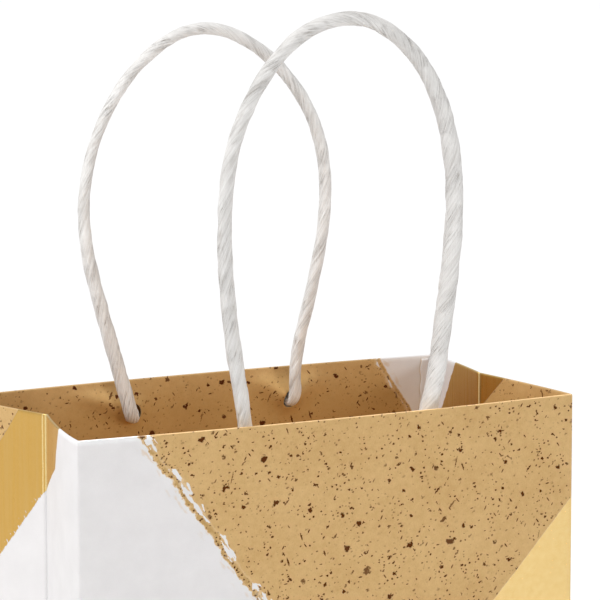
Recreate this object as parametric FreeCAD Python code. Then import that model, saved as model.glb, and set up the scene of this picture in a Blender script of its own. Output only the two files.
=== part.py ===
import FreeCAD, Part
import math
import os

# Upright paper gift bag with two twisted paper cord handles. Millimetres, +Z up.
# The origin is the centre of the base. The front faces -Y, and the width runs along X.

# ---- driving dimensions -------------------------------------------------------------------------

WIDTH = 190.0           # across the front, corner to corner
DEPTH = 97.0            # front corner to back corner
HEIGHT = 240.0          # base to rim
PAPER = 0.3             # the coated paper that the whole bag is folded from
SQUARE_BELOW = 48.0     # up to this height the base holds the bag square
CREASED_ABOVE = 180.0   # from here up the gussets are drawn in by the full amount
RIM_BOW = 3.5           # how far the middle of the front and back walls bows outwards there
CREASE_IN = {-1: 11.5, 1: 5.5}       # how far each gusset's crease is drawn in, left and right
CREASE_BACK = {-1: 1.5, 1: 5.0}      # how far behind the middle it is there

HEM = 40.0              # depth of the turned-in top
CARD = 0.6              # reinforcement card inside the front and back hems
POCKET = 1.0            # room between outer paper and card for the glued cord ends
GLUE_GAP = 0.1          # between layers
HEM_END_GAP = 2.0       # front and back hems stop this short of the corners

SEAM_WIDTH = 14.0       # side glue flap
FLAP_OVERLAP = 10.0     # the front and back bottom flaps reach this far past the middle
SIDE_FLAP = 54.0        # length of the left and right bottom flaps
FLAP_CLEARANCE = 0.5

BOARD_THICKNESS = 1.2
BOARD_WIDTH = 180.0
BOARD_REAR = 46.3       # the board's rear edge, which it tips up about
BOARD_DEPTH = 92.5

CORD = 5.2              # handle cord diameter
HANDLE_OFFSET = 3.5     # the handles' middle is this far to the right of the bag's middle
HOLE_SPACING = 65.0
HOLE_RADIUS = 4.0
HOLE_DROP = 11.5        # hole centres below the rim
HANDLE_Y = 44.5         # the cord's centre plane inside the wall
PIVOT_RISE = 3.0        # each handle bends over just above the rim
RUNNING_GAP = 0.5       # between a handle's moving loop and its fixed roots
ANCHOR_WIDTH = 9.0      # flattened cord end, glued in the pocket
ANCHOR_ABOVE = 5.0
ANCHOR_BELOW = 21.0
ANCHOR_THICKNESS = 0.8

# Each loop's route as (x, height above the rim), from its left leg round to its right leg.
FRONT_ROUTE = [(-31.8, 3.0), (-36.6, 30.0), (-39.5, 62.0), (-37.2, 92.0), (-25.2, 115.8), (-8.2, 132.0),
               (14.0, 135.3), (34.2, 122.2), (46.2, 99.0), (50.2, 70.0), (46.1, 35.0), (41.0, 3.0)]
BACK_ROUTE = [(-34.9, 3.0), (-41.9, 26.0), (-48.8, 52.0), (-48.3, 75.0), (-40.0, 97.3), (-24.3, 116.5),
              (-3.0, 126.5), (19.5, 118.4), (38.6, 99.0), (47.6, 76.0), (46.9, 50.0), (41.1, 26.0),
              (34.7, 3.0)]

# ---- places worked out from them ----------------------------------------------------------------

LEVELS = [0, SQUARE_BELOW, CREASED_ABOVE, HEIGHT - PAPER]
HALF_WIDTH = WIDTH / 2
HALF_DEPTH = DEPTH / 2
PANEL_TOP = HEIGHT - PAPER
HEM_BOTTOM = HEIGHT - HEM
CARD_INSET = PAPER + POCKET
FRONT_HEM_INSET = CARD_INSET + CARD + GLUE_GAP
GUSSET_HEM_INSET = PAPER + GLUE_GAP
HOLE_HEIGHT = HEIGHT - HOLE_DROP
HOLE_X = [HANDLE_OFFSET - HOLE_SPACING / 2, HANDLE_OFFSET + HOLE_SPACING / 2]
PIVOT_HEIGHT = HEIGHT + PIVOT_RISE
ROOT_TOP = PIVOT_HEIGHT - CORD / 2 - RUNNING_GAP

FRONT, BACK = -1, 1
LEFT, RIGHT = -1, 1


def vec(x, y, z):
    return FreeCAD.Vector(x, y, z)


def spread(z):
    """How far the bag is out of square at a height: 0 low down, 1 towards the rim."""
    return min(1.0, max(0.0, (z - SQUARE_BELOW) / (CREASED_ABOVE - SQUARE_BELOW)))


def box(low, high):
    size = [b - a for a, b in zip(low, high)]
    return Part.makeBox(size[0], size[1], size[2], vec(*low))


def loft(wires):
    return Part.makeLoft(wires, True, True)


# ---- front and back walls -----------------------------------------------------------------------

def wall_y(side, x, z, inset):
    """The front or back wall's y: a parabola in x, flat at the base and bowed out higher up."""
    bow = RIM_BOW * spread(z) * (1 - (x / HALF_WIDTH) ** 2)
    return side * (HALF_DEPTH + bow - inset)


def wall_arc(side, x1, x2, z, inset):
    """The exact stretch of that parabola from x1 to x2, as a quadratic Bezier edge."""
    y1 = wall_y(side, x1, z, inset)
    y2 = wall_y(side, x2, z, inset)
    slope = -side * RIM_BOW * spread(z) * 2 * x1 / HALF_WIDTH ** 2
    curve = Part.BezierCurve()
    curve.setPoles([vec(x1, y1, z), vec((x1 + x2) / 2, y1 + slope * (x2 - x1) / 2, z), vec(x2, y2, z)])
    return curve.toShape()


def wall_section(side, x1, x2, z, inset, thickness):
    outer = wall_arc(side, x1, x2, z, inset)
    inner = wall_arc(side, x2, x1, z, inset + thickness)
    start = Part.makeLine(inner.Vertexes[-1].Point, outer.Vertexes[0].Point)
    end = Part.makeLine(outer.Vertexes[-1].Point, inner.Vertexes[0].Point)
    return Part.Wire([outer, end, inner, start])


def wall_sheet(side, x1, x2, levels, inset, thickness):
    """A sheet that follows the front or back wall, at a depth inside its outer face."""
    return loft([wall_section(side, x1, x2, z, inset, thickness) for z in levels])


def punch_holes(shape):
    for x in HOLE_X:
        drill = Part.makeCylinder(HOLE_RADIUS, DEPTH, vec(x, -DEPTH, HOLE_HEIGHT), vec(0, 1, 0))
        shape = shape.cut(drill)
        shape = shape.cut(drill.mirror(vec(0, 0, 0), vec(0, 1, 0)))
    return shape


def panel(side):
    return wall_sheet(side, -HALF_WIDTH, HALF_WIDTH, LEVELS, 0, PAPER)


def wall_hem(side):
    """The turned-in top: a strip down the inside, and the fold that closes the rim."""
    half = HALF_WIDTH - HEM_END_GAP
    strip = wall_sheet(side, -half, half, [HEM_BOTTOM, HEIGHT], FRONT_HEM_INSET, PAPER)
    fold = wall_sheet(side, -half, half, [PANEL_TOP, HEIGHT], 0, FRONT_HEM_INSET + PAPER)
    return punch_holes(strip.fuse(fold).removeSplitter())


def reinforcement_card(side):
    half = HALF_WIDTH - HEM_END_GAP - 1
    card = wall_sheet(side, -half, half, [HEM_BOTTOM + 1, PANEL_TOP - GLUE_GAP], CARD_INSET, CARD)
    return punch_holes(card)


def glue_flap():
    """The side seam: the right gusset's edge strip, glued inside the back wall."""
    end = HALF_WIDTH - 1.0
    levels = [BOARD_THICKNESS * 2, SQUARE_BELOW, CREASED_ABOVE, HEM_BOTTOM - GLUE_GAP]
    return wall_sheet(BACK, end - SEAM_WIDTH, end, levels, PAPER + GLUE_GAP, PAPER)


# ---- gussets ------------------------------------------------------------------------------------

def gusset_section(side, half, z, inset, thickness, corner_gap):
    """One half of a gusset in plan, from near its corner to the crease. half is FRONT or BACK."""
    corner = (side * HALF_WIDTH, half * HALF_DEPTH)
    crease = (side * (HALF_WIDTH - CREASE_IN[side] * spread(z)), CREASE_BACK[side] * spread(z))
    along = corner_gap / abs(crease[1] - corner[1])
    start = (corner[0] + (crease[0] - corner[0]) * along, half * (HALF_DEPTH - corner_gap))
    near, far = -side * inset, -side * (inset + thickness)
    points = [vec(start[0] + near, start[1], z), vec(crease[0] + near, crease[1], z),
              vec(crease[0] + far, crease[1], z), vec(start[0] + far, start[1], z)]
    return Part.makePolygon(points + points[:1])


def gusset_sheet(side, half, levels, inset, thickness, corner_gap):
    return loft([gusset_section(side, half, z, inset, thickness, corner_gap) for z in levels])


def gusset(side, half):
    return gusset_sheet(side, half, LEVELS, 0, PAPER, PAPER)


def gusset_hem(side, half):
    corner_gap = PAPER + GLUE_GAP
    strip = gusset_sheet(side, half, [HEM_BOTTOM, HEIGHT], GUSSET_HEM_INSET, PAPER, corner_gap)
    fold = gusset_sheet(side, half, [PANEL_TOP, HEIGHT], 0, GUSSET_HEM_INSET + PAPER, corner_gap)
    return strip.fuse(fold).removeSplitter()


# ---- base ---------------------------------------------------------------------------------------

def long_flap(side, level):
    """The front or back bottom flap: a trapezoid with 45 degree mitred ends."""
    outer = HALF_DEPTH - PAPER
    half = HALF_WIDTH - FLAP_CLEARANCE
    reach = outer + FLAP_OVERLAP
    points = [vec(-half, side * outer, level), vec(half, side * outer, level),
              vec(half - reach, -side * FLAP_OVERLAP, level), vec(reach - half, -side * FLAP_OVERLAP, level)]
    return Part.Face(Part.makePolygon(points + points[:1])).extrude(vec(0, 0, PAPER))


def end_flap(side):
    outer = HALF_WIDTH - FLAP_CLEARANCE
    half = HALF_DEPTH - PAPER - FLAP_CLEARANCE
    edges = sorted([side * outer, side * (outer - SIDE_FLAP)])
    return box((edges[0], -half, 2 * PAPER), (edges[1], half, 3 * PAPER))


def base_board():
    bottom = 3 * PAPER + GLUE_GAP
    half = BOARD_WIDTH / 2
    return box((-half, BOARD_REAR - BOARD_DEPTH, bottom), (half, BOARD_REAR, bottom + BOARD_THICKNESS))


# ---- handles ------------------------------------------------------------------------------------

def tube(points, radii, name):
    """A round cord along straight runs joined by tangent arcs."""
    edges = []
    start = points[0]
    for before, corner, after, radius in zip(points, points[1:], points[2:], radii):
        into = (corner - before).normalize()
        away = (after - corner).normalize()
        half_turn = into.getAngle(away) / 2
        tangent = radius * math.tan(half_turn)
        first = corner - into * tangent
        last = corner + away * tangent
        middle_way = (away - into).normalize()
        middle = corner + middle_way * (radius / math.cos(half_turn) - radius)
        edges.append(Part.LineSegment(start, first).toShape())
        edges.append(Part.Arc(first, middle, last).toShape())
        start = last
    edges.append(Part.LineSegment(start, points[-1]).toShape())
    path = Part.Wire(edges)
    ring = Part.Wire(Part.makeCircle(CORD / 2, points[0], points[1] - points[0]))
    solid = path.makePipeShell([ring], True, True)
    expected = math.pi * (CORD / 2) ** 2 * path.Length
    print("%s: length %.1f, least radius %.1f, volume %.4f of section times length"
          % (name, path.Length, min(radii), solid.Volume / expected))
    return solid


def fair_radii(points):
    """The largest arc that each corner's two runs allow."""
    radii = []
    for before, corner, after in zip(points, points[1:], points[2:]):
        half_turn = (corner - before).getAngle(after - corner) / 2
        shorter = min((corner - before).Length, (after - corner).Length)
        radii.append(0.45 * shorter / math.tan(half_turn))
    return radii


def handle_loop(side, route, name):
    """The loop above the rim. Round ends on the swing axis let it turn above its roots."""
    points = [vec(x, side * HANDLE_Y, HEIGHT + rise) for x, rise in route]
    loop = tube(points, fair_radii(points), name)
    for end, beyond in ((points[0], points[1]), (points[-1], points[-2])):
        cap = Part.makeSphere(CORD / 2, end)
        loop = loop.fuse(cap)
    return loop.removeSplitter()


def handle_anchors(side):
    """The flattened cord ends, glued between the outer paper and the card."""
    low, high = HOLE_HEIGHT - ANCHOR_BELOW, HOLE_HEIGHT + ANCHOR_ABOVE
    return [wall_sheet(side, x - ANCHOR_WIDTH / 2, x + ANCHOR_WIDTH / 2, [low, high],
                       PAPER + GLUE_GAP, ANCHOR_THICKNESS) for x in HOLE_X]


def handle_roots(side, route, anchors, name):
    """From each anchor in through the punched hole, then up to just under the swing axis."""
    roots = []
    for hole_x, leg, anchor in zip(HOLE_X, (route[0], route[-1]), anchors):
        inside = wall_y(side, hole_x, HOLE_HEIGHT, PAPER + GLUE_GAP + ANCHOR_THICKNESS / 2)
        points = [vec(hole_x, inside, HOLE_HEIGHT), vec(hole_x, side * HANDLE_Y, HOLE_HEIGHT),
                  vec(leg[0], side * HANDLE_Y, ROOT_TOP)]
        roots.append(tube(points, [CORD], name).cut(anchor))
    return roots


# ---- the whole bag ------------------------------------------------------------------------------

def build():
    nodes = {}
    for side, name in ((FRONT, "front"), (BACK, "back")):
        nodes[name + "_panel"] = panel(side)
        nodes[name + "_hem"] = wall_hem(side)
        nodes[name + "_reinforcement_card"] = reinforcement_card(side)
    for side, name in ((LEFT, "left"), (RIGHT, "right")):
        for half, half_name in ((FRONT, "front"), (BACK, "rear")):
            nodes["%s_gusset_%s" % (name, half_name)] = gusset(side, half)
            nodes["%s_hem_%s" % (name, half_name)] = gusset_hem(side, half)
        nodes[name + "_bottom_flap"] = end_flap(side)
    nodes["side_glue_flap"] = glue_flap()
    nodes["front_bottom_flap"] = long_flap(FRONT, 0)
    nodes["back_bottom_flap"] = long_flap(BACK, PAPER)
    nodes["base_board"] = base_board()
    for side, name, route in ((FRONT, "front", FRONT_ROUTE), (BACK, "back", BACK_ROUTE)):
        anchors = handle_anchors(side)
        roots = handle_roots(side, route, anchors, name + " handle root")
        nodes[name + "_handle_anchors"] = Part.makeCompound(anchors)
        nodes[name + "_handle_roots"] = Part.makeCompound(roots)
        nodes[name + "_handle_loop"] = handle_loop(side, route, name + " handle loop")
    return nodes


os.makedirs("parts", exist_ok=True)
for node, shape in build().items():
    if not shape.isValid() or not all(solid.isClosed() for solid in shape.Solids):
        raise ValueError(node + " is not a valid closed solid")
    print("%-26s solids %d volume %10.2f" % (node, len(shape.Solids), shape.Volume))
    shape.exportStep("parts/%s.step" % node)
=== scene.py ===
import math

import bmesh
import bpy
import numpy as np
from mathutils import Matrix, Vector, noise


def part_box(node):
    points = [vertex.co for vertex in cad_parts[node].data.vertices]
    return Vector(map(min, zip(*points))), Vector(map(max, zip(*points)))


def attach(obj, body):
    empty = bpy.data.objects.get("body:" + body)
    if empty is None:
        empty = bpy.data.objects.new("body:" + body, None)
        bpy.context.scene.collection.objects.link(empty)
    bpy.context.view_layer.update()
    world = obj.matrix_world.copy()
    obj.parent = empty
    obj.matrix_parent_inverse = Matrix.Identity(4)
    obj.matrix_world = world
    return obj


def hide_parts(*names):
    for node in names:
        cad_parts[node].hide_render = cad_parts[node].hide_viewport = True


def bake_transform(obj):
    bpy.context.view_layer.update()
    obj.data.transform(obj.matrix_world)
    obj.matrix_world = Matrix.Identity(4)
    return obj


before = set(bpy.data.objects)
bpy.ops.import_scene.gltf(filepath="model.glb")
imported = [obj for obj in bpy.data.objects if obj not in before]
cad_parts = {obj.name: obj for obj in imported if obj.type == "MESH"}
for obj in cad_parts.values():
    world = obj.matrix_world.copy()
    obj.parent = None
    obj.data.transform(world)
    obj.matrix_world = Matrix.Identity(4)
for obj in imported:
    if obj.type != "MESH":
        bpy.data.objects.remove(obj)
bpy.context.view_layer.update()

MM = 0.001

# ---- sizes, from the frame ----

FRONT, BACK = -1, 1
LEFT, RIGHT = -1, 1
SIDE_NAME = {LEFT: "left", RIGHT: "right"}
WALL_NAME = {FRONT: "front", BACK: "back"}
HALF_NAME = {FRONT: "front", BACK: "rear"}

CAD_PAPER = 0.3 * MM
HALF_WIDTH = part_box("front_panel")[1].x
HALF_DEPTH = CAD_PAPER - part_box("left_gusset_front")[0].y
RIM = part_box("front_hem")[1].z
HEM_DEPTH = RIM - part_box("front_hem")[0].z
RIM_BOW = -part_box("front_panel")[0].y - HALF_DEPTH
CREASE_X = {LEFT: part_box("left_gusset_front")[1].x - CAD_PAPER,
            RIGHT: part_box("right_gusset_front")[0].x + CAD_PAPER}
CREASE_Y = {LEFT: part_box("left_gusset_front")[1].y, RIGHT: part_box("right_gusset_front")[1].y}

# Heights between which the walls go from square to fully drawn in, as in part.py.
SQUARE_BELOW = 48 * MM
CREASED_ABOVE = 180 * MM

# ---- sizes of the paper work ----

PAPER = 0.25 * MM
HEM_FACE = 1.0 * MM          # from the outer face to the hem's inner face
CARD_INSET = 0.34 * MM
CARD = 0.34 * MM
CORNER_RADIUS = 0.7 * MM
FOOT_RADIUS = 0.3 * MM       # the fold round the bottom edge, and the lip beyond it
LIP = 1.0 * MM
CREASE_CURVE = 1.4           # the gussets curve in towards their crease

FOLD_SPACING = 0.15 * MM     # of the mesh round a fold
FOLD_RADIUS = HEM_FACE / 2
FOLD_START = RIM - FOLD_RADIUS
FOLD_MIDDLE = FOLD_START + math.pi * FOLD_RADIUS / 2
FOLD_END = FOLD_START + math.pi * FOLD_RADIUS

# Where each face starts on the flat sheet. The seam, where the sheet's ends meet, is at the back right.
GUSSET_WIDTH = 2 * HALF_DEPTH + 1.5 * MM
FRONT_START = 0.0
LEFT_START = -GUSSET_WIDTH
BACK_START = LEFT_START - 2 * HALF_WIDTH
RIGHT_START = 2 * HALF_WIDTH

CORD = 5.2 * MM
HOLE_DROP = 11.5 * MM
# The visible holes are smaller than the part's and 1 to 2 mm nearer the middle, as the photo shows them.
HOLE_X = (-28 * MM, 34.3 * MM)
ROOT_LEAN = (-1.2 * MM, 1.0 * MM)    # how far each root leans to one side of its hole
HOLE_RADIUS = 3.1 * MM
CARD_HOLE_EXTRA = 0.7 * MM           # how much bigger the card's holes are in radius
HANDLE_Y = 44.5 * MM
BEND_SAG = (5.0 * MM, 2.4 * MM)      # how far each root hangs below its hole before it turns in

# Each loop's route as in part.py: x, and height above the rim, in millimetres.
FRONT_ROUTE = [(-31.8, 3.0), (-36.6, 30.0), (-39.5, 62.0), (-37.2, 92.0), (-25.2, 115.8), (-8.2, 132.0),
               (14.0, 135.3), (34.2, 122.2), (46.2, 99.0), (50.2, 70.0), (46.1, 35.0), (41.0, 3.0)]
BACK_ROUTE = [(-34.9, 3.0), (-41.9, 26.0), (-48.8, 52.0), (-48.3, 75.0), (-40.0, 97.3), (-24.3, 116.5),
              (-3.0, 126.5), (19.5, 118.4), (38.6, 99.0), (47.6, 76.0), (46.9, 50.0), (41.1, 26.0),
              (34.7, 3.0)]


# ---- camera ----

# Fitted to the places of the rim's corners in the photo, with a separate program.
CAMERA_AZIMUTH = math.radians(-28.1)
CAMERA_ELEVATION = math.radians(8.66)
CAMERA_DISTANCE = 1450.7 * MM
AIM_RIGHT = 11.65 * MM       # from the middle of the rim, as the camera sees it
AIM_UP = 32.98 * MM
LENS = 250.6


def toward(azimuth, elevation):
    """The direction from the bag to a camera or a lamp. Azimuth 0 is in front, and 90 degrees is right."""
    level = math.cos(elevation)
    return Vector((math.sin(azimuth) * level, -math.cos(azimuth) * level, math.sin(elevation)))


def make_camera():
    back = toward(CAMERA_AZIMUTH, CAMERA_ELEVATION)
    right = Vector((math.cos(CAMERA_AZIMUTH), math.sin(CAMERA_AZIMUTH), 0))
    up = back.cross(right)
    aim = Vector((0, 0, RIM)) + right * AIM_RIGHT + up * AIM_UP
    data = bpy.data.cameras.new("camera")
    data.lens = LENS
    data.clip_end = 50
    camera = bpy.data.objects.new("camera", data)
    camera.location = aim + back * CAMERA_DISTANCE
    camera.rotation_euler = (-back).to_track_quat("-Z", "Y").to_euler()
    bpy.context.scene.collection.objects.link(camera)
    bpy.context.scene.camera = camera


make_camera()


# ---- mesh helpers ----

def link(name, mesh):
    obj = bpy.data.objects.new(name, mesh)
    bpy.context.scene.collection.objects.link(obj)
    return obj


def grid_mesh(name, points, flat, skip=None, closed=False):
    """A mesh from a grid of points, with the flat sheet's coordinates as its UV map.
    skip[i, j] leaves out a face, and closed joins each row's end to its start."""
    rows, columns = points.shape[:2]
    index = np.arange(rows * columns).reshape(rows, columns)
    faces = []
    for i in range(rows - 1):
        for j in range(columns if closed else columns - 1):
            if skip is None or not skip[i, j]:
                k = (j + 1) % columns
                faces.append((index[i, j], index[i, k], index[i + 1, k], index[i + 1, j]))
    mesh = bpy.data.meshes.new(name)
    mesh.from_pydata(points.reshape(-1, 3).tolist(), [], [tuple(map(int, f)) for f in faces])
    uv = mesh.uv_layers.new(name="flat")
    vertex = np.zeros(len(mesh.loops), int)
    mesh.loops.foreach_get("vertex_index", vertex)
    uv.data.foreach_set("uv", flat.reshape(-1, 2)[vertex].astype(np.float32).ravel())
    mesh.polygons.foreach_set("use_smooth", [True] * len(mesh.polygons))
    mesh.update()
    return mesh


def drop_loose(mesh):
    work = bmesh.new()
    work.from_mesh(mesh)
    loose = [v for v in work.verts if not v.link_faces]
    bmesh.ops.delete(work, geom=loose, context="VERTS")
    work.to_mesh(mesh)
    work.free()


# ---- print on the paper: a node graph in the flat sheet's millimetres ----

class Graph:
    """A short way to write shader maths. Every value is a socket or a number."""

    def __init__(self, material):
        material.use_nodes = True
        self.tree = material.node_tree
        self.tree.nodes.clear()
        self.output = self.tree.nodes.new("ShaderNodeOutputMaterial")

    def node(self, kind, **settings):
        made = self.tree.nodes.new(kind)
        for key, value in settings.items():
            setattr(made, key, value)
        return made

    def put(self, value, socket):
        if isinstance(value, bpy.types.NodeSocket):
            self.tree.links.new(value, socket)
        else:
            socket.default_value = value

    def math(self, operation, *values):
        made = self.node("ShaderNodeMath", operation=operation)
        for value, socket in zip(values, made.inputs):
            self.put(value, socket)
        return made.outputs[0]

    def add(self, a, b):
        return self.math("ADD", a, b)

    def sub(self, a, b):
        return self.math("SUBTRACT", a, b)

    def apart(self, a, b):
        return self.math("ABSOLUTE", self.sub(a, b))

    def mul(self, *values):
        result = values[0]
        for value in values[1:]:
            result = self.math("MULTIPLY", result, value)
        return result

    def biggest(self, *values):
        result = values[0]
        for value in values[1:]:
            result = self.math("MAXIMUM", result, value)
        return result

    def ramp(self, value, low, high, to_low=0.0, to_high=1.0):
        made = self.node("ShaderNodeMapRange")
        for part, socket in zip((value, low, high, to_low, to_high), made.inputs):
            self.put(part, socket)
        return made.outputs[0]

    def vector(self, x, y, z=0.0):
        made = self.node("ShaderNodeCombineXYZ")
        for value, socket in zip((x, y, z), made.inputs):
            self.put(value, socket)
        return made.outputs[0]

    def noise(self, place, scale, detail=2.0, rough=0.5, colour=False):
        made = self.node("ShaderNodeTexNoise")
        self.put(place, made.inputs["Vector"])
        made.inputs["Scale"].default_value = scale
        made.inputs["Detail"].default_value = detail
        made.inputs["Roughness"].default_value = rough
        return made.outputs["Color" if colour else "Fac"]

    def cells(self, place, scale):
        made = self.node("ShaderNodeTexVoronoi", voronoi_dimensions="2D")
        self.put(place, made.inputs["Vector"])
        made.inputs["Scale"].default_value = scale
        return made.outputs["Distance"], made.outputs["Color"]

    def split(self, vector):
        made = self.node("ShaderNodeSeparateXYZ")
        self.put(vector, made.inputs[0])
        return made.outputs

    def mix(self, share, a, b, blend="MIX"):
        made = self.node("ShaderNodeMix", data_type="RGBA", blend_type=blend)
        self.put(share, made.inputs[0])
        for value, socket in ((a, made.inputs[6]), (b, made.inputs[7])):
            self.put(value, socket)
        return made.outputs[2]

    def bump(self, height, distance, strength=1.0, normal=None):
        made = self.node("ShaderNodeBump")
        made.inputs["Strength"].default_value = strength
        made.inputs["Distance"].default_value = distance
        self.put(height, made.inputs["Height"])
        if normal is not None:
            self.put(normal, made.inputs["Normal"])
        return made.outputs[0]

    def surface(self, colour, rough, specular, normal=None, metallic=0.0):
        """Gives the material one shader with these values."""
        shader = self.node("ShaderNodeBsdfPrincipled")
        self.put(colour, shader.inputs["Base Color"])
        self.put(rough, shader.inputs["Roughness"])
        self.put(specular, shader.inputs["Specular IOR Level"])
        self.put(metallic, shader.inputs["Metallic"])
        if normal is not None:
            self.put(normal, shader.inputs["Normal"])
        self.put(shader.outputs[0], self.output.inputs["Surface"])


def new_material(name):
    material = bpy.data.materials.new(name)
    return material, Graph(material)


WHITE_INK = (0.745, 0.727, 0.727, 1)
WHITE_LIGHT = (0.80, 0.782, 0.782, 1)
# painted highlight colour on the white, for the creases and the rim's fold
WHITE_HIGHLIGHT = (0.93, 0.93, 0.94, 1)
KRAFT = (0.575, 0.362, 0.147, 1)
KRAFT_LIGHT = (0.665, 0.44, 0.195, 1)
# the darker kraft: the print's border beside the white, and painted shade down the turned-in hem
KRAFT_DEEP = (0.42, 0.245, 0.075, 1)
# on the kraft: the print's pale smears, and painted highlight on the creases and the rim's fold
KRAFT_SMEAR_AND_HIGHLIGHT = (0.80, 0.62, 0.40, 1)
FLECK = (0.090, 0.020, 0.0, 1)
GOLD = (0.76, 0.50, 0.175, 1)
GOLD_LIGHT = (0.84, 0.65, 0.31, 1)
# painted shade: the gold on the gussets is mixed towards this darker colour
GOLD_PAINTED_SHADE = (0.60, 0.335, 0.06, 1)
# painted highlight colour on the gold, for the creases and the rim's fold
GOLD_HIGHLIGHT = (1.0, 0.86, 0.46, 1)

PATTERN_REPEAT = (2 * HALF_WIDTH + GUSSET_WIDTH) / MM    # the print repeats on each half of the sheet
GUSSET_FROM = 2 * HALF_WIDTH / MM                        # where the gusset starts on each repeat
RIM_V = RIM / MM

# The print's lines, in millimetres. A place is measured from the left end of a repeat, and a slope is how
# far the line runs to the right for each millimetre down.
WHITE_END = 21.0
WHITE_END_ON_HEM = 22.5
WHITE_SLOPE = 0.72
WHITE_SLOPE_ON_HEM = 0.63
GOLD_START = (0.0, 225.3, -0.982)        # a depth below the rim, the place there, and the slope
GOLD_BULGE_DEPTH = 36.0                  # down to here the gold's first edge bulges to the right
GOLD_END = [(0.0, 265.0, -0.45), (15.0, 258.3, -1.75), (25.7, 239.3, -0.93)]
GOLD_END_SLOPE_ON_HEM = 0.74
FOOT_HEIGHT = 34.0                       # of the kraft area at the foot, at the middle of a repeat
FOOT_SLOPE = 0.27
# These turn a distance along the rim into one square to the line.
WHITE_ACROSS = 0.81
GOLD_ACROSS = 0.69
GOLD_END_ACROSS = 0.7


def flecks(g, place, cell, radius, rate, stretch=1.0, turn=0.0, ragged=0.5):
    """Specks of bran and bark in the kraft paper: one per cell at most, each of its own size.
    Lengths are millimetres. stretch draws the specks out along a direction, turned by turn degrees."""
    wobble = g.noise(place, 1 / (radius * 1.5), 2, colour=True)
    shifted = g.node("ShaderNodeVectorMath", operation="MULTIPLY_ADD")
    g.put(wobble, shifted.inputs[0])
    shifted.inputs[1].default_value = (3 * ragged * radius,) * 3
    g.put(place, shifted.inputs[2])
    mapping = g.node("ShaderNodeMapping", vector_type="TEXTURE")
    g.put(shifted.outputs[0], mapping.inputs["Vector"])
    # Each kind of speck has its own cells, so that two kinds don't fall together.
    mapping.inputs["Location"].default_value = (turn * 0.37 + 3 * cell, cell * 1.7, 0)
    mapping.inputs["Rotation"].default_value = (0, 0, math.radians(turn))
    mapping.inputs["Scale"].default_value = (stretch, 1, 1)
    distance, colour = g.cells(mapping.outputs[0], 1 / cell)
    chance = g.split(colour)
    size = g.ramp(chance[1], 0.0, 1.0, 0.35, 1.05)
    kept = g.math("LESS_THAN", chance[0], rate)
    reach = g.mul(size, radius / cell)
    speck = g.ramp(distance, g.mul(reach, 0.8), g.mul(reach, 1.15), 1.0, 0.0)
    strength = g.ramp(chance[2], 0.0, 0.4, 0.75, 1.0)
    return g.mul(speck, kept, strength)


def kraft_colour(g, place, extra, share, deep):
    """Speckled kraft paper. extra is where more specks gather, share is how strong the small ones are, and
    deep is how far the paper goes to its darker colour."""
    cloud = g.noise(place, 0.05, 3)
    mottle = g.noise(place, 0.45, 3, 0.6)
    fibre = g.noise(g.vector(g.split(place)[0], g.mul(g.split(place)[1], 0.5)), 2.2, 4, 0.65)
    tone = g.add(g.mul(cloud, 0.35), g.add(g.mul(mottle, 0.35), g.mul(fibre, 0.3)))
    base = g.mix(deep, g.mix(g.ramp(tone, 0.40, 0.60), KRAFT, KRAFT_LIGHT), KRAFT_DEEP)
    crowd = g.mul(g.ramp(g.noise(place, 0.15, 2), 0.42, 0.55, 0.1, 1.0), share)
    specks = g.biggest(
        g.mul(flecks(g, place, 1.5, 0.34, 0.42, 1.2, 15, 0.8), crowd),
        g.mul(flecks(g, place, 2.5, 0.42, 0.38, 1.6, 25, 0.9), crowd),
        flecks(g, place, 5.2, 0.68, 0.42, 1.4, -35, 1.1),
        flecks(g, place, 11.0, 1.05, 0.50, 1.5, 28, 1.2),
        flecks(g, place, 3.4, 0.24, 0.42, 3.4, 62, 0.6),
        flecks(g, place, 3.8, 0.24, 0.40, 3.6, -52, 0.6),
        flecks(g, place, 4.8, 0.24, 0.36, 3.2, 8, 0.6),
        flecks(g, place, 7.6, 0.40, 0.42, 4.4, 47, 0.8),
        flecks(g, place, 8.2, 0.34, 0.38, 4.8, -72, 0.8),
        g.mul(flecks(g, place, 12.0, 0.20, 0.50, 12.0, 76, 1.2), 0.9),
        g.mul(flecks(g, place, 1.2, 0.36, 0.70, 1.2, 10, 0.8), extra),
    )
    haze = g.mul(g.ramp(g.noise(place, 0.9, 4, 0.75), 0.58, 0.74), 0.30)
    shade = g.math("MINIMUM", g.biggest(specks, haze), 1.0)
    return g.mix(shade, base, FLECK), shade


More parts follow.
